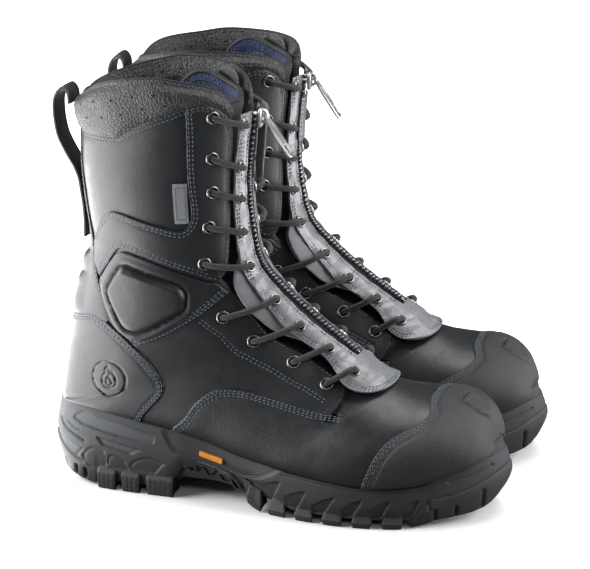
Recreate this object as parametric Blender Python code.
"""A pair of leather fire boots with a zip panel laced into the front of each boot.

Frame: +X towards the toes, +Y to the wearer's left, +Z up, tread on z = 0. Lengths are in
millimetres and are turned into metres when the meshes are made. The right boot is built once in
its own frame (heel at x = 0, outer side at -y); the left boot is its mirror image, set beside it.

The upper is one smooth surface described by rings. Ring 0 is a little above the collar, rings 1
to 5 go down the shaft, 6 to 9 fan through the ankle and 10 to 22 fan forward to the toe tip.
A point on it is (ring, girth): girth runs from -1 (outer feather line or back seam) through 0
(front centre line) to +1 (inner side). Every layer of the boot is a pattern piece drawn in
(ring, girth) and given a thickness between two offsets from that surface.
"""
import math
import bpy
import numpy as np
from mathutils import Vector
from mathutils.geometry import delaunay_2d_cdt

for old in list(bpy.data.objects):
    bpy.data.objects.remove(old)

# ---- the pair ----
MILLIMETRE = 0.001
LEFT_YAW_DEG = 4.2          # the left boot stands turned out by this much
LEFT_SHIFT = (-0.2, 101.6)  # where the left heel stands beside the right heel
ORIGIN = (151.09, 59.14)    # middle of the pair's footprint in the right boot's frame
SHARP_EDGE_DEG = 38

# ---- layers: inner and outer offset from the surface ----
LEATHER = (-1.9, -0.1)      # base leather
OVERLAY = (0.2, 2.2)        # leather laid over the base
COLLAR = (0.2, 3.0)
TOE_RUBBER = (2.5, 4.7)
LINING = (-8.1, -6.5)
HEEL_STIFFENER = (-4.1, -2.2)
TOE_STIFFENER = (-4.3, -0.1)
EYELET_STAY = (-2.5, -2.15)
ZIP_CHAIN = (1.6, 2.8)
ZIP_STAY = (2.5, 3.1)
ZIP_PANEL = (3.4, 5.2)

COLLAR_PAD_RISE = 2.6       # extra thickness of raised areas
ANKLE_PAD_RISE = 4.2
ZIP_TEETH_RISE = 3.1

EYELET_RADIUS = 3.0         # centre to corner of the holes the laces run through
EYELET_SIDES = 5

# ---- rings ----
# front x, y, z | back or feather x, z | feather half width outer, inner
# | widest half width outer, inner | share of the chord where it is widest | roundness front, rear
RINGS = np.array([
    (134.5, 0, 290, 20, 290, 0, 0, 48, 48, .50, 2.15, 2.2),
    (131.5, 0, 262, 19, 262, 0, 0, 48, 48, .50, 2.15, 2.2),
    (128.0, 0, 226, 19, 226, 0, 0, 47.5, 47.5, .50, 2.15, 2.2),
    (127.5, 0, 205, 21, 198, 0, 0, 46.5, 46.5, .50, 2.15, 2.15),
    (129.0, 0, 186, 24, 170, 0, 0, 45, 45, .50, 2.15, 2.1),
    (133.0, 0, 165, 20, 149, 0, 0, 43, 43, .50, 2.15, 2.1),
    (139.0, 0, 151.5, 14, 128, 0, 0, 41.5, 41.5, .50, 2.15, 2.1),
    (148.5, 0, 141, 8.5, 103, 0, 0, 41, 41, .52, 2.15, 2.1),
    (160.0, 0, 130.8, 5, 78, 0, 0, 40.5, 40, .56, 2.15, 2.15),
    (172.0, 0, 121.4, 3, 54, 0, 0, 40, 39, .60, 2.15, 2.2),
    (183.0, 0, 113, 9, 54.5, 21, 21, 40, 38.5, .63, 2.15, 2.2),
    (193.0, 0, 106, 30, 55.5, 34, 33, 40.5, 38.5, .68, 2.15, 2.3),
    (203.0, 0, 99, 60, 51, 37, 34.5, 41.5, 38.5, .74, 2.15, 2.4),
    (213.0, 0, 92.5, 100, 45, 38, 33, 44, 39, .75, 2.15, 2.4),
    (224, 0, 84.8, 140, 35.5, 43.5, 33.5, 49, 40, .76, 2.15, 2.4),
    (236, .5, 79.6, 175, 31, 50, 39.5, 54.5, 45, .76, 2.2, 2.4),
    (249.5, 1, 76.2, 207, 28, 54, 47, 57.5, 51.5, .76, 2.25, 2.4),
    (263, 1.5, 74.8, 232, 27.5, 52.5, 50, 55.5, 53.5, .76, 2.35, 2.4),
    (274.5, 2, 73.2, 255, 30, 46.5, 48, 50, 51.5, .75, 2.45, 2.4),
    (283.5, 2.5, 69.6, 273, 36, 39.5, 42, 42.5, 45, .73, 2.45, 2.4),
    (290.5, 3, 63, 287, 41, 31, 34.5, 34, 37.5, .70, 2.3, 2.3),
    (295.5, 3.5, 54.2, 296, 44.5, 20.5, 25.5, 23, 28, .65, 2.15, 2.2),
    (298, 4, 47.6, 299.5, 46.3, 9, 16, 10.5, 17.5, .55, 2.0, 2.0),
], float)
LAST = len(RINGS) - 1
# rings whose ends also shape the sole's top edge; the back seam ends on the first of them
FOOT_RINGS = [9, 10, 11, 12, 14, 16, 17, 18, 19, 20, 21, 22]
SEAM_END = FOOT_RINGS[0]
# pattern lines every layer shares, so layers stay parallel
RING_LINES = [0, 1.2, 2.6, 3.7, 4.7, 5.8, 7.2] + [float(k) for k in FOOT_RINGS]
HALF_GIRTH_LINES = [0, .14, .30, .47, .65, .83, 1.0]
GIRTH_LINES = [-line for line in HALF_GIRTH_LINES[:0:-1]] + HALF_GIRTH_LINES

CURVE_SAMPLES = 160         # samples on each quarter of a ring
RING_STEP = .06             # steps over which the surface's slope is taken
GIRTH_STEP = .02
LEVEL_START = .82           # girth where the foot's normals begin to turn level
LEVEL_SPAN = .14            # girth over which they do
TIP_SPAN = .3               # rings before the last one whose normals lean forward
TIP_LEAN = 1.5

# base colour, roughness, metallic
MATERIALS = {
    "leather": ((.045, .046, .05), .38, 0),
    "overlay_leather": ((.055, .056, .062), .34, 0),
    "collar_leather": ((.07, .07, .072), .6, 0),
    "panel_leather": ((.16, .16, .17), .3, 0),
    "rubber": ((.035, .036, .038), .7, 0),
    "arch": ((.12, .12, .125), .55, 0),
    "foam": ((.25, .25, .26), .9, 0),
    "lining": ((.05, .07, .12), .9, 0),
    "stiffener": ((.45, .4, .32), .6, 0),
    "metal": ((.55, .55, .57), .25, 1),
    "lace": ((.035, .028, .025), .85, 0),
    "tape": ((.03, .03, .032), .8, 0),
    "webbing": ((.04, .04, .042), .7, 0),
}


def make_material(name, color, roughness, metallic):
    made = bpy.data.materials.new(name)
    made.use_nodes = True
    shader = next(n for n in made.node_tree.nodes if n.type == "BSDF_PRINCIPLED")
    shader.inputs["Base Color"].default_value = (*color, 1)
    shader.inputs["Roughness"].default_value = roughness
    shader.inputs["Metallic"].default_value = metallic
    return made


made_materials = {name: make_material(name, *look) for name, look in MATERIALS.items()}


# ---- the upper's surface ----
def unit(vector):
    return vector / np.linalg.norm(vector)


def ring_row(ring):
    """The ring table at a fractional ring number, on a smooth curve through its rows."""
    ring = min(max(ring, 0), LAST)
    i = min(int(ring), LAST - 1)
    f = ring - i
    start, end = RINGS[i], RINGS[i + 1]
    before = RINGS[i - 1] if i > 0 else 2 * start - end
    after = RINGS[i + 2] if i + 2 <= LAST else 2 * end - start
    return .5 * (2 * start + (end - before) * f
                 + (2 * before - 5 * start + 4 * end - after) * f * f
                 + (3 * start - before - 3 * end + after) * f ** 3)


def surface(ring, girth):
    """A point on the smooth surface; |girth| is the share of the half ring's length."""
    (front_x, front_y, front_z, end_x, end_z, end_outer, end_inner,
     wide_outer, wide_inner, widest, round_front, round_rear) = ring_row(ring)
    side = -1 if girth < 0 else 1
    wide, end = (wide_outer, end_outer) if side < 0 else (wide_inner, end_inner)
    angle = np.linspace(0, np.pi / 2, CURVE_SAMPLES)
    chord = np.r_[widest * (1 - np.cos(angle) ** (2 / round_front)),
                  (widest + (1 - widest) * np.sin(angle) ** (2 / round_rear))[1:]]
    width = np.r_[wide * np.sin(angle) ** (2 / round_front),
                  (end + (wide - end) * np.cos(angle) ** (2 / round_rear))[1:]]
    points = np.stack([front_x + (end_x - front_x) * chord,
                       front_y * (1 - chord) + side * width,
                       front_z + (end_z - front_z) * chord], -1)
    run = np.r_[0, np.cumsum(np.linalg.norm(np.diff(points, axis=0), axis=1))]
    at = abs(girth) * run[-1]
    return np.array([np.interp(at, run, points[:, k]) for k in range(3)])


def surface_normal(ring, girth):
    """Outward unit normal. It turns level near the feather line, so layers stand side by side."""
    down = (surface(min(ring + RING_STEP, LAST), girth)
            - surface(max(ring - RING_STEP, 0), girth))
    if ring <= SEAM_END and abs(girth) > 1 - GIRTH_STEP:    # across the back seam
        around = surface(ring, -(1 - GIRTH_STEP)) - surface(ring, 1 - GIRTH_STEP)
    else:
        around = (surface(ring, min(girth + GIRTH_STEP, 1))
                  - surface(ring, max(girth - GIRTH_STEP, -1)))
    normal = np.cross(down, around)
    if ring > SEAM_END:
        level = min(max((abs(girth) - LEVEL_START) / LEVEL_SPAN, 0), 1)
        normal = unit(normal)
        normal[2] *= 1 - level
    if ring > LAST - TIP_SPAN:
        normal = unit(normal) + np.array([TIP_LEAN, 0, 0])
    return unit(normal)


LATTICE = np.array([[surface(r, g) for g in GIRTH_LINES] for r in RING_LINES])
LATTICE_NORMALS = np.array([[surface_normal(r, g) for g in GIRTH_LINES] for r in RING_LINES])


def cell_of(lines, value):
    """The interval of these lines that holds the value, and how far along it the value is."""
    i = min(max(int(np.searchsorted(lines, value, side="right")) - 1, 0), len(lines) - 2)
    share = (value - lines[i]) / (lines[i + 1] - lines[i])
    return i, min(max(share, 0), 1)


def facet_point(ring, girth, offset):
    """A point off the faceted surface, which is linear between the shared pattern lines."""
    i, u = cell_of(RING_LINES, ring)
    j, v = cell_of(GIRTH_LINES, girth)
    if u >= v:
        corners = ((i, j, 1 - u), (i + 1, j, u - v), (i + 1, j + 1, v))
    else:
        corners = ((i, j, 1 - v), (i, j + 1, v - u), (i + 1, j + 1, u))
    point = sum(weight * LATTICE[a, b] for a, b, weight in corners)
    normal = sum(weight * LATTICE_NORMALS[a, b] for a, b, weight in corners)
    return point + offset * normal


# ---- cutting and thickening pattern pieces ----
def inside(x, y, outline):
    hit = False
    for k in range(len(outline)):
        (x1, y1), (x2, y2) = outline[k - 1], outline[k]
        if (y1 > y) != (y2 > y) and x < (x2 - x1) * (y - y1) / (y2 - y1) + x1:
            hit = not hit
    return hit


def near_edge(x, y, outline, tolerance=1e-4):
    for k in range(len(outline)):
        (x1, y1), (x2, y2) = outline[k - 1], outline[k]
        dx, dy = x2 - x1, y2 - y1
        share = ((x - x1) * dx + (y - y1) * dy) / max(dx * dx + dy * dy, 1e-12)
        share = min(max(share, 0), 1)
        if abs(x - x1 - share * dx) < tolerance and abs(y - y1 - share * dy) < tolerance:
            return True
    return False


def lines_around(lines, low, high):
    """Indices of the lines within a range, with one more on each side."""
    last = len(lines) - 1
    return [k for k in range(len(lines))
            if lines[min(k + 1, last)] >= low and lines[max(k - 1, 0)] <= high]


def sheet(outline, holes, plateaus):
    """Points, triangles and extra outer offsets of one piece, cut along the shared lines."""
    rings, girths = zip(*outline)
    rows = lines_around(RING_LINES, min(rings), max(rings))
    columns = lines_around(GIRTH_LINES, min(girths), max(girths))
    corners, index = [], {}
    for a in rows:
        for b in columns:
            index[a, b] = len(corners)
            corners.append(Vector((RING_LINES[a], GIRTH_LINES[b])))
    edges = []
    for a in rows:
        for b in columns:
            for neighbour in ((a + 1, b), (a, b + 1), (a + 1, b + 1)):
                if neighbour in index:
                    edges.append((index[a, b], index[neighbour]))
    for loop in [outline] + list(holes) + [area for area, _ in plateaus]:
        first = len(corners)
        corners += [Vector(p) for p in loop]
        edges += [(first + k, first + (k + 1) % len(loop)) for k in range(len(loop))]
    cut_points, _, cut_faces = delaunay_2d_cdt(corners, edges, [], 0, 1e-6)[:3]
    kept = []
    for face in cut_faces:
        x = sum(cut_points[k][0] for k in face) / len(face)
        y = sum(cut_points[k][1] for k in face) / len(face)
        if inside(x, y, outline) and not any(inside(x, y, hole) for hole in holes):
            kept.append(tuple(face))
    points = [(p[0], p[1]) for p in cut_points]
    lift = [0.0] * len(points)
    for k, (x, y) in enumerate(points):
        for area, rise in plateaus:         # a later plateau overrides an earlier one
            if near_edge(x, y, area) or inside(x, y, area):
                lift[k] = rise
    return points, kept, lift


def layer(pieces, offsets):
    """A closed solid between two offsets.

    pieces: (outline, holes, plateaus) each, sewn where they meet; a plateau is an area and
    its extra outer offset.
    """
    low, high = offsets
    lower, upper, triangles, sewn = [], [], [], {}
    for piece in pieces:
        points, kept, lift = sheet(*piece)
        names = {}
        for face in kept:
            for k in face:
                if k in names:
                    continue
                ring, girth = points[k]
                key = tuple(np.round(facet_point(ring, girth, 0), 2))
                if key not in sewn:
                    sewn[key] = len(lower)
                    lower.append(facet_point(ring, girth, low))
                    upper.append(facet_point(ring, girth, high + lift[k]))
                names[k] = sewn[key]
            triangle = [names[k] for k in face]
            if len(set(triangle)) == 3:
                triangles.append(triangle)
    n = len(lower)
    faces, edges = [], {}
    for a, b, c in triangles:
        faces += [(a + n, b + n, c + n), (c, b, a)]
        edges.update(dict.fromkeys([(a, b), (b, c), (c, a)]))
    for a, b in edges:
        if (b, a) not in edges:             # an open edge gets a wall
            faces.append((a, b, b + n, a + n))
    return np.array(lower + upper), faces


def mirrored(outline):
    return [(ring, -girth) for ring, girth in outline][::-1]


def both_sides(outline, holes=(), plateaus=()):
    """An outer side's piece and its mirror image on the inner side."""
    return [(outline, holes, plateaus),
            (mirrored(outline), [mirrored(hole) for hole in holes],
             [(mirrored(area), rise) for area, rise in plateaus])]


def eyelet_hole(ring, girth):
    """A small polygon around a pattern point, its radius turned into pattern units."""
    centre = surface(ring, girth)
    mm_per_ring = np.linalg.norm(surface(ring + .05, girth) - centre) / .05
    mm_per_girth = np.linalg.norm(surface(ring, girth + .01) - centre) / .01
    angles = [2 * math.pi * (k + .5) / EYELET_SIDES for k in range(EYELET_SIDES)]
    return [(ring + EYELET_RADIUS / mm_per_ring * math.cos(angle),
             girth + EYELET_RADIUS / mm_per_girth * math.sin(angle)) for angle in angles]


def eyelet_holes(places):
    return [eyelet_hole(ring, girth) for ring, girth in places]


# ---- other solids ----
def sections(rows):
    """A solid through closed cross-sections of equal point count, capped at both ends."""
    rows = [np.asarray(row, float) for row in rows]
    m = len(rows[0])
    faces = []
    for i in range(len(rows) - 1):
        for k in range(m):
            a, b = i * m + k, i * m + (k + 1) % m
            faces.append((a, b, b + m, a + m))
    faces.append(tuple(range(m))[::-1])
    faces.append(tuple((len(rows) - 1) * m + k for k in range(m)))
    return np.concatenate(rows), faces


def rectangle(corner, first, second):
    """A parallelogram section from a corner and two edge vectors."""
    return [corner, corner + first, corner + first + second, corner + second]


def quarter_turned(direction):
    """The direction turned by a quarter in the x-z plane."""
    return np.array([-direction[2], 0, direction[0]])


def tube(path, radius, sides=4):
    """A round cord along a path."""
    rows, side = [], None
    for k, point in enumerate(path):
        along = unit(path[min(k + 1, len(path) - 1)] - path[max(k - 1, 0)])
        if side is None:
            side = np.cross(along, [0.3, 0.2, 1.0])
        side = unit(side - along * (side @ along))
        up = np.cross(along, side)
        angles = [2 * math.pi * j / sides for j in range(sides)]
        rows.append([point + radius * (math.cos(a) * side + math.sin(a) * up) for a in angles])
    return sections(rows)


def outward(verts, faces):
    """The faces turned so that the solid's volume counts as positive."""
    volume = 0
    for face in faces:
        for k in range(1, len(face) - 1):
            volume += np.dot(verts[face[0]], np.cross(verts[face[k]], verts[face[k + 1]]))
    if volume > 0:
        return verts, faces
    return verts, [tuple(reversed(face)) for face in faces]


def place(points, left):
    """Right-boot millimetres to the pair's frame in metres."""
    placed = np.array(points, float)
    if left:
        placed = placed * [1, -1, 1]
        yaw = math.radians(LEFT_YAW_DEG)
        x, y, z = placed.T
        placed = np.stack([x * math.cos(yaw) - y * math.sin(yaw) + LEFT_SHIFT[0],
                           x * math.sin(yaw) + y * math.cos(yaw) + LEFT_SHIFT[1], z], -1)
    return (placed - [*ORIGIN, 0]) * MILLIMETRE


def mesh_object(name, verts, faces):
    mesh = bpy.data.meshes.new(name)
    mesh.from_pydata([tuple(v) for v in verts], [], [tuple(face) for face in faces])
    mesh.update()
    made = bpy.data.objects.new(name, mesh)
    bpy.context.scene.collection.objects.link(made)
    return made


def add(name, solid, material, origin=None):
    """The same solid for both boots; the left one is the mirror image."""
    verts, faces = outward(*solid)
    for left in (False, True):
        placed = place(verts, left)
        turned = [tuple(reversed(face)) for face in faces] if left else faces
        location = place([origin], left)[0] if origin is not None else np.zeros(3)
        made = mesh_object(("left_" if left else "right_") + name, placed - location, turned)
        made.location = location
        made.data.materials.append(made_materials[material])
        for polygon in made.data.polygons:
            polygon.use_smooth = True
        # soft inside the faces, crisp along real edges
        made.data.set_sharp_from_angle(angle=math.radians(SHARP_EDGE_DEG))


def add_side_pieces(name, outline, offsets, material, holes=(), plateaus=()):
    """Separate outer and inner pieces on each boot."""
    for side, piece in zip(("outer", "inner"), both_sides(outline, holes, plateaus)):
        add(f"{name}_{side}", layer([piece], offsets), material)


def united(body, extras):
    """One closed solid: the body with the extras united into it."""
    base = mesh_object("sole", body[0] * MILLIMETRE, outward(*body)[1])
    helpers = []
    for k, extra in enumerate(extras):
        helper = mesh_object(f"sole_lug_{k}", extra[0] * MILLIMETRE, outward(*extra)[1])
        helper.hide_render = True
        helpers.append(helper)
        union = base.modifiers.new(f"u{k}", "BOOLEAN")
        union.operation = "UNION"
        union.solver = "EXACT"
        union.object = helper
    bpy.context.view_layer.update()
    evaluated = base.evaluated_get(bpy.context.evaluated_depsgraph_get())
    mesh = evaluated.to_mesh()
    verts = np.array([tuple(v.co) for v in mesh.vertices]) / MILLIMETRE
    faces = [tuple(polygon.vertices) for polygon in mesh.polygons]
    evaluated.to_mesh_clear()
    for helper in helpers + [base]:
        bpy.data.objects.remove(helper)
    return verts, faces


# ---- sole ----
# the upper's lower edge: x, z, half width outer, inner
FEATHER = [tuple(RINGS[k][3:7]) for k in FOOT_RINGS]
SOLE_X = [-5.5, -4, -1.5, 3, 9, 18, 30, 45, 60, 86, 90, 96, 118, 140, 158, 172, 178, 192, 207,
          220, 232, 244, 255, 265, 273, 280, 287, 292, 296, 300, 304, 307, 309.5]
SOLE_GAP = 0.3                  # between the upper's lower edge and the sole
HEEL_X, TOE_X = 3, 300          # beyond these the sole's top edge leaves the feather line
# x, z of the top edge beyond the heel and the toe
HEEL_TOP = [(-5.5, 27), (-4, 40), (-1.5, 48)]
TOE_TOP = [(304, 44.5), (307, 41), (309.5, 34)]
TOE_DROP = [(225, 0), (250, 1.4), (300, 1.6)]   # x, how far the bumper's upper edge is lowered
# x, z of the underside
SOLE_BASE = [
    (-5.5, 19), (-4, 12), (-1.5, 8), (3, 5.5), (9, 5), (86, 5), (90, 14), (96, 21), (118, 23.5),
    (140, 21.5), (158, 16), (172, 7.5), (178, 5), (262, 5), (273, 5.6), (280, 6.8), (287, 8.5),
    (292, 11), (296, 13), (300, 15.5), (304, 18.5), (307, 22.5), (309.5, 29),
]
# x, half width outer, inner
SOLE_WIDTHS = [
    (-5.5, 9, 9), (-4, 14, 14), (-1.5, 19, 19), (3, 24, 24), (9, 28.5, 28.5), (18, 33.5, 33),
    (30, 37, 36), (45, 38.8, 37.2), (60, 40, 37.8), (90, 41, 37.5), (118, 42.5, 36),
    (140, 46.3, 36.8), (158, 50, 39), (178, 54, 43.5), (207, 57, 50), (220, 57, 52.8),
    (232, 55.5, 53.8), (244, 53, 53.6), (255, 50, 52), (265, 46.5, 49.5), (273, 43, 46.5),
    (280, 38.5, 42.5), (287, 34, 38.5), (292, 29.5, 34.5), (296, 26, 31), (300, 21, 26.5),
    (304, 15, 21), (307, 8, 14.5), (309.5, 2.5, 9),
]
# how far the wall stands in from the half width at its top, middle and bottom
WALL_INSETS = (1.2, -1.0, 2.5)
WALL_MIDDLE = .42               # height of the wall's middle as a share

LUG_ROWS = [(8, 22), (26, 42), (46, 62), (66, 86),      # start and end x
            (180, 193), (197, 211), (215, 229), (233, 247), (251, 264)]
LUG_MARGIN = 2.9                # in from the sole's half width
LUG_SINK = 1.5                  # into the sole's underside
LUG_TAPER = 1.2
LUG_SIDE_SHARE = .32            # of the row's width, for each side lug
LUG_GROOVE = 3.5                # between side and middle lugs
LUG_MIDDLE_TRIM = 1             # off each end of the middle lug

ARCH_STATIONS = [(97, 12), (104, 10.5), (118, 11), (140, 10), (156, 7.5), (164, 7)]  # x, low z
ARCH_INSETS = (5, 4, 8)         # at its top, middle and bottom
ARCH_GAP = .5                   # under the sole

PLATE_X = [34, 46, 60, 100, 140, 175, 207, 232, 255, 273, 280]
PLATE_HEEL_X = 60               # behind this the plates narrow
PLATE_HEEL_SLOPE = .14
MIDSOLE_HEIGHTS, MIDSOLE_INSET = (.1, 4.6), 9.2     # heights above the feather line
FOOTBED_HEIGHTS, FOOTBED_INSET = (5.0, 9.6), 10.2


def table_at(x, table, column=1):
    """A table's column at this x, straight between its rows."""
    return float(np.interp(x, [row[0] for row in table], [row[column] for row in table]))


def sole_row(x):
    """z top, z bottom, half widths of the wall outer and inner at this x."""
    top = table_at(min(max(x, HEEL_X), TOE_X), FEATHER) - SOLE_GAP
    if x < HEEL_X:
        top = table_at(x, HEEL_TOP + [(HEEL_X, top)])
    top -= table_at(x, TOE_DROP)
    if x > TOE_X:
        top = table_at(x, [(TOE_X, top)] + TOE_TOP)
    return top, table_at(x, SOLE_BASE), table_at(x, SOLE_WIDTHS, 1), table_at(x, SOLE_WIDTHS, 2)


def wall_section(x, outer, inner, heights, insets):
    """Down the outer wall and up the inner wall."""
    levels = list(zip(heights, insets))
    return ([(x, -outer + inset, z) for z, inset in levels]
            + [(x, inner - inset, z) for z, inset in reversed(levels)])


def lug(x0, x1, y0, y1, z_top):
    low_x0, low_x1 = x0 + LUG_TAPER, x1 - LUG_TAPER
    low_y0, low_y1 = y0 + LUG_TAPER, y1 - LUG_TAPER
    low = [(low_x0, low_y0, 0), (low_x1, low_y0, 0), (low_x1, low_y1, 0), (low_x0, low_y1, 0)]
    high = [(x0, y0, z_top), (x1, y0, z_top), (x1, y1, z_top), (x0, y1, z_top)]
    return sections([low, high])


def lug_row(x0, x1):
    """Outer, middle and inner lug of one row."""
    _, base0, outer0, inner0 = sole_row(x0)
    _, base1, outer1, inner1 = sole_row(x1)
    outer = min(outer0, outer1) - LUG_MARGIN
    inner = min(inner0, inner1) - LUG_MARGIN
    top = max(base0, base1) + LUG_SINK
    width = (outer + inner) * LUG_SIDE_SHARE
    return [lug(x0, x1, -outer, -outer + width, top),
            lug(x0 + LUG_MIDDLE_TRIM, x1 - LUG_MIDDLE_TRIM,
                -outer + width + LUG_GROOVE, inner - width - LUG_GROOVE, top),
            lug(x0, x1, inner - width, inner, top)]


def build_outsole():
    rows = []
    for x in SOLE_X:
        top, base, outer, inner = sole_row(x)
        heights = (top, base + WALL_MIDDLE * (top - base), base)
        rows.append(wall_section(x, outer, inner, heights, WALL_INSETS))
    lugs = [one for x0, x1 in LUG_ROWS for one in lug_row(x0, x1)]
    add("outsole", united(sections(rows), lugs), "rubber")


def build_arch_insert():
    rows = []
    for x, low in ARCH_STATIONS:
        _, base, outer, inner = sole_row(x)
        high = base - ARCH_GAP
        rows.append(wall_section(x, outer, inner, (high, (high + low) / 2, low), ARCH_INSETS))
    add("arch_insert", sections(rows), "arch")


def add_plate(name, heights, inset, material):
    """A plate inside the upper that follows the feather line."""
    rows = []
    for x in PLATE_X:
        z, outer, inner = (table_at(x, FEATHER, column) for column in (1, 2, 3))
        trim = max(0, (PLATE_HEEL_X - x) * PLATE_HEEL_SLOPE)
        y0, y1 = -(outer - trim) + inset, inner - trim - inset
        z0, z1 = z + heights[0], z + heights[1]
        rows.append([(x, y0, z0), (x, y1, z0), (x, y1, z1), (x, y0, z1)])
    add(name, sections(rows), material)


# ---- upper: outlines of the outer side's pieces, in (ring, girth) ----
QUARTER_OUTLINE = [
    (.98, -1), (.85, -.85), (.5, -.69), (.3, -.52), (.35, -.42), (.62, -.31), (3.6, -.29),
    (5.75, -.27), (5.75, -.215), (6.4, -.185), (9.5, -.15), (12.6, -.19), (13.65, -.27),
    (14.05, -.37), (14.2, -.46), (14.0, -.75), (13.7, -1), (9, -1)]
VAMP_OUTLINE = [
    (14.5, -.44), (14.2, -.50), (13.35, -.46), (12.0, -.475), (11.5, -.52), (11.55, -.58),
    (11.85, -.67), (12.4, -.83), (12.75, -1), (14, -1), (21.2, -1), (21.2, 0), (14.5, 0)]
TOE_GUARD_OUTLINE = [
    (16.70, -1), (16.55, -.86), (16.45, -.715), (16.5, -.595), (16.8, -.52), (17.15, -.46),
    (17.25, -.36), (16.85, -.235), (16.8, -.10), (16.8, 0), (LAST, 0), (LAST, -1)]
TOE_CAP_OUTLINE = [(17.7, -.93), (17.7, 0), (LAST, 0), (LAST, -.93)]
HEEL_COUNTER_OUTLINE = [
    (7.1, -1), (7.1, -.8), (7.6, -.66), (9, -.62), (10.5, -.66), (12, -.8), (12, -.92),
    (10, -.93), (9, -1)]
LINING_OUTLINE = [
    (.2, -.16), (.1, -.4), (.1, -.55), (.5, -.8), (.75, -1), (9, -1), (LAST, -1), (LAST, 0),
    (13.2, 0), (13.0, -.16), (9, -.15), (5, -.16)]
TONGUE_OUTLINE = [
    (.12, -.145), (.12, .145), (5, .145), (9, .135), (12.9, .145), (12.9, -.145), (9, -.135),
    (5, -.145)]                 # the full width
HEEL_PATCH_OUTLINE = [
    (6.75, -1), (6.5, -.79), (6.58, -.735), (6.88, -.675), (7.65, -.592), (8.85, -.525),
    (9.95, -.575), (10.95, -.68), (11.55, -.80), (12.2, -1), (9, -1)]
BACK_STAY_OUTLINE = [
    (1.62, -1), (1.65, -.935), (2.85, -.865), (3.6, -.855), (4.05, -.81), (5.25, -.755),
    (6.0, -.712), (6.72, -.68), (6.42, -.735), (6.36, -.79), (6.62, -1)]
COLLAR_OUTLINE = [
    (.92, -1), (.75, -.85), (.35, -.69), (.12, -.52), (.15, -.39), (.45, -.25), (.70, -.165),
    (1.0, -.125), (1.18, -.14), (.88, -.2), (.74, -.27), (.82, -.335), (1.02, -.40),
    (1.25, -.52), (1.45, -.61), (1.48, -.70), (1.5, -.88), (1.5, -1)]
COLLAR_PAD = [
    (.86, -1), (.68, -.84), (.42, -.69), (.28, -.52), (.32, -.42), (.8, -.42), (1.1, -.55),
    (1.28, -.7), (1.28, -1)]
FACING_OUTLINE = [
    (.86, -.335), (1.5, -.32), (2.35, -.31), (3.3, -.305), (3.75, -.345), (3.55, -.465),
    (3.2, -.63), (3.4, -.72), (3.95, -.80), (5.2, -.745), (4.3, -.655), (4.2, -.61),
    (4.6, -.48), (5.25, -.33), (5.72, -.26), (5.68, -.20), (5.3, -.175), (4.4, -.145),
    (3.4, -.12), (2.4, -.115), (1.3, -.12), (1.23, -.14), (.93, -.2), (.80, -.265)]
ANKLE_OUTLINE = [
    (4.42, -.66), (4.36, -.61), (4.76, -.48), (5.4, -.34), (5.86, -.27), (5.86, -.215),
    (6.5, -.20), (7.05, -.30), (7.25, -.345), (7.65, -.475), (7.72, -.565), (7.4, -.60),
    (6.75, -.665), (5.6, -.725), (5.3, -.735)]
ANKLE_PAD_TOP = [
    (4.95, -.60), (5.65, -.42), (6.05, -.385), (6.45, -.385), (6.7, -.41), (7.1, -.52),
    (7.1, -.555), (6.9, -.595), (6.45, -.63), (5.8, -.665), (5.5, -.66)]
ANKLE_PAD_FOOT = [
    (4.7, -.615), (5.52, -.395), (6.0, -.36), (6.5, -.355), (6.85, -.385), (7.3, -.51),
    (7.32, -.56), (7.05, -.61), (6.5, -.655), (5.75, -.69), (5.35, -.685)]
EYELET_STAY_OUTLINE = [
    (.98, -.26), (1.9, -.25), (2.8, -.25), (3.85, -.275), (5.0, -.30), (6.3, -.29),
    (7.5, -.295), (9.05, -.255), (11.1, -.255), (13.0, -.30), (13.15, -.25), (12.6, -.215),
    (11.1, -.178), (9.1, -.18), (7.3, -.212), (6.2, -.225), (4.9, -.215), (3.7, -.195),
    (2.7, -.178), (1.8, -.18), (.95, -.185)]
# eyelet centres
FACING_EYELETS = [(1.08, -.222), (1.85, -.215), (2.75, -.212), (3.8, -.235), (4.95, -.262)]
QUARTER_EYELETS = [(7.45, -.255), (9.05, -.215), (11.05, -.215), (12.75, -.255)]
SIDE_EYELETS = FACING_EYELETS + QUARTER_EYELETS
PANEL_EYELETS = [(1.25, -.09), (2.05, -.088), (3.1, -.09), (4.2, -.095), (5.4, -.092),
                 (7.6, -.078), (9.25, -.078), (11.1, -.085), (12.9, -.12)]


def build_upper():
    quarters = both_sides(QUARTER_OUTLINE, eyelet_holes(QUARTER_EYELETS))
    add("quarters", layer(quarters, LEATHER), "leather")
    collar = both_sides(COLLAR_OUTLINE, plateaus=[(COLLAR_PAD, COLLAR_PAD_RISE)])
    add("collar", layer(collar, COLLAR), "collar_leather")
    add("tongue", layer([(TONGUE_OUTLINE, [], [])], LINING), "tape")
    for name, outline, offsets, material in (
            ("vamp", VAMP_OUTLINE, OVERLAY, "leather"),
            ("toe_guard", TOE_GUARD_OUTLINE, TOE_RUBBER, "rubber"),
            ("toe_cap", TOE_CAP_OUTLINE, TOE_STIFFENER, "stiffener"),
            ("heel_counter", HEEL_COUNTER_OUTLINE, HEEL_STIFFENER, "stiffener"),
            ("lining", LINING_OUTLINE, LINING, "lining"),
            ("heel_patch", HEEL_PATCH_OUTLINE, OVERLAY, "overlay_leather"),
            ("back_stay", BACK_STAY_OUTLINE, OVERLAY, "webbing")):
        add(name, layer(both_sides(outline), offsets), material)


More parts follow.
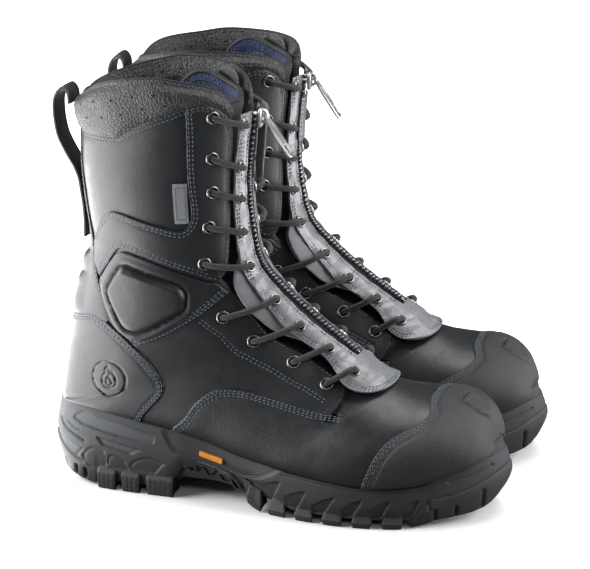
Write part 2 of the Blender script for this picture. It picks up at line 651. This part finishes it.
def build_side_pieces():
    add_side_pieces("facing", FACING_OUTLINE, OVERLAY, "overlay_leather",
                    holes=eyelet_holes(FACING_EYELETS))
    add_side_pieces("ankle_pad", ANKLE_OUTLINE, OVERLAY, "overlay_leather",
                    plateaus=[(ANKLE_PAD_FOOT, 0), (ANKLE_PAD_TOP, ANKLE_PAD_RISE)])
    # one stay strip carries all the side's eyelets
    add_side_pieces("eyelets", EYELET_STAY_OUTLINE, EYELET_STAY, "metal",
                    holes=eyelet_holes(SIDE_EYELETS))


# ---- zip panel ----
SLOT_HALF = .034                # girth from the centre line to the panel's slot edge
SLOT_END = 12.3                 # ring where the slot and the chain end
PANEL_OUTLINE = [
    (1.12, -.115), (3.0, -.118), (5.0, -.12), (7.0, -.107), (9.5, -.106), (11.5, -.12),
    (12.6, -.165), (13.3, -.195), (13.9, -.195), (14.35, -.14), (14.55, -.05), (14.6, 0),
    (SLOT_END, 0), (SLOT_END, -SLOT_HALF), (1.12, -SLOT_HALF)]
ZIP_STAY_OUTLINE = [
    (1.15, -.108), (3.0, -.112), (5.0, -.114), (7.0, -.101), (9.5, -.10), (11.5, -.112),
    (12.6, -.152), (13.2, -.16), (13.5, -.12), (13.5, 0), (12.45, 0), (12.45, -.046),
    (1.15, -.046)]


def zip_strip(start, end, half_width):
    """The outer half of a straight strip along the centre line."""
    return [(start, -half_width), (end, -half_width), (end, 0), (start, 0)]


def build_zip_panel():
    holes = eyelet_holes(PANEL_EYELETS)
    add("zip_panel", layer(both_sides(PANEL_OUTLINE, holes), ZIP_PANEL), "panel_leather")
    add("zip_eyelets", layer(both_sides(ZIP_STAY_OUTLINE, holes), ZIP_STAY), "metal")
    teeth = [(zip_strip(1.16, 12.1, .026), 0), (zip_strip(1.17, 12.0, .018), ZIP_TEETH_RISE)]
    chain = both_sides(zip_strip(1.15, SLOT_END, .041), plateaus=teeth)
    add("zip_chain", layer(chain, ZIP_CHAIN), "metal")


# ---- laces: offsets of the cord's path from the surface ----
LACE_RADIUS = 1.25
LACE_UNDER_SIDE = -4.3          # under a facing or quarter eyelet
LACE_OVER_FACING = 5.2
LACE_OVER_QUARTER = 3.0
LACE_CREST = 8.5                # over the panel's edge
LACE_OVER_PANEL = 8.1
LACE_UNDER_PANEL = -3.6
LACE_CROSSING = -3.7            # under the leather, on the way to the next pair


def build_laces():
    """Up through an eyelet, over the panel's edge, down its eyelet, on to the next pair."""
    for side, sign in (("outer", 1), ("inner", -1)):
        path = []
        for k in range(len(SIDE_EYELETS)):
            ring, girth = SIDE_EYELETS[k]
            panel_ring, panel_girth = PANEL_EYELETS[k]
            girth, panel_girth = girth * sign, panel_girth * sign
            over_side = LACE_OVER_FACING if k < len(FACING_EYELETS) else LACE_OVER_QUARTER
            if k:
                last_ring, last_girth = PANEL_EYELETS[k - 1]
                path.append(facet_point((ring + last_ring) / 2,
                                        (girth + last_girth * sign) / 2, LACE_CROSSING))
            path += [facet_point(ring, girth, LACE_UNDER_SIDE),
                     facet_point(ring, girth, over_side),
                     facet_point(ring * .5 + panel_ring * .5,
                                 girth * .5 + panel_girth * .5, LACE_CREST),
                     facet_point(panel_ring, panel_girth, LACE_OVER_PANEL),
                     facet_point(panel_ring, panel_girth, LACE_UNDER_PANEL)]
        add("lace_" + side, tube(path, LACE_RADIUS), "lace")


# ---- zip slider, pull and guard ----
ZIP_TOP = facet_point(1.1, 0, 0)
ZIP_DOWN = unit(facet_point(3.7, 0, 0) - ZIP_TOP)
ZIP_OUT = quarter_turned(ZIP_DOWN)
ACROSS = np.array([0, 1.0, 0])
SLIDER_SEAT = ZIP_TOP + ZIP_OUT * 6.7
SLIDER_CENTRE = SLIDER_SEAT + ZIP_DOWN * 3
SLIDER_LENGTH, SLIDER_HEIGHT = 13, 3.2
SLIDER_SECTIONS = [(-.5, 9.6), (0, 9.6), (.5, 7.4)]     # share of the length, width
PULL_PIVOT = SLIDER_SEAT + ZIP_DOWN * 2 + ZIP_OUT * 5.2
PULL_REST_DEG = 34              # the pull hangs this far forward of straight down
PULL_HALF_THICKNESS = .8
PULL_SECTIONS = [(-1.2, 4.6), (4, 4.6), (8, 9), (29, 9), (31.5, 5)]  # from the pivot, width
GUARD_SECTIONS = [(.55, 8), (.8, 13), (2.2, 13), (2.5, 8)]           # ring, depth
GUARD_Y, GUARD_OFFSET, GUARD_THICKNESS = 11.5, 5.7, 1.8


def build_zip_slider():
    rows = []
    for share, width in SLIDER_SECTIONS:
        centre = SLIDER_CENTRE + ZIP_DOWN * (share * SLIDER_LENGTH)
        rows.append(rectangle(centre - ACROSS * width / 2, ACROSS * width,
                              ZIP_OUT * SLIDER_HEIGHT))
    add("zip_slider", sections(rows), "metal", origin=SLIDER_SEAT)


def build_zip_pull():
    rest = math.radians(PULL_REST_DEG)
    hang = np.array([math.sin(rest), 0, -math.cos(rest)])
    face = quarter_turned(hang)
    rows = []
    for distance, width in PULL_SECTIONS:
        corner = PULL_PIVOT + hang * distance - ACROSS * width / 2 - face * PULL_HALF_THICKNESS
        rows.append(rectangle(corner, ACROSS * width, face * 2 * PULL_HALF_THICKNESS))
    add("zip_pull", sections(rows), "metal", origin=PULL_PIVOT)


def build_zip_guard():
    """A fin that stands out from the panel on the inner side of the slider."""
    rows = []
    for ring, depth in GUARD_SECTIONS:
        corner = facet_point(ring, 0, 0) + ACROSS * GUARD_Y + ZIP_OUT * GUARD_OFFSET
        rows.append(rectangle(corner, ZIP_OUT * depth, ACROSS * GUARD_THICKNESS))
    add("zip_guard", sections(rows), "panel_leather")


# ---- pull loop ----
# x, z of the strap's middle
LOOP_PATH = [
    (9.5, 258), (8.6, 263.5), (5.5, 266.5), (1.5, 263.5), (-1.2, 257), (-1.1, 246), (1.0, 234.5),
    (4.6, 226.5), (8.6, 219.5), (12.2, 213.5), (15.2, 206), (16.9, 196), (18.2, 187),
    (19.0, 176), (18.8, 166)]
LOOP_WIDTH = 23
LOOP_HALF_THICKNESS = 1


def build_pull_loop():
    """A strap that leaves the collar, arches back and is sewn down the back seam."""
    path = [np.array([x, 0, z]) for x, z in LOOP_PATH]
    rows = []
    for k, point in enumerate(path):
        along = unit(path[min(k + 1, len(path) - 1)] - path[max(k - 1, 0)])
        thick = quarter_turned(along) * LOOP_HALF_THICKNESS
        rows.append(rectangle(point - thick - ACROSS * LOOP_WIDTH / 2, ACROSS * LOOP_WIDTH,
                              2 * thick))
    add("pull_loop", sections(rows), "webbing")


build_outsole()
build_arch_insert()
add_plate("midsole", MIDSOLE_HEIGHTS, MIDSOLE_INSET, "foam")
add_plate("footbed", FOOTBED_HEIGHTS, FOOTBED_INSET, "lining")
build_upper()
build_side_pieces()
build_zip_panel()
build_laces()
build_zip_slider()
build_zip_pull()
build_zip_guard()
build_pull_loop()
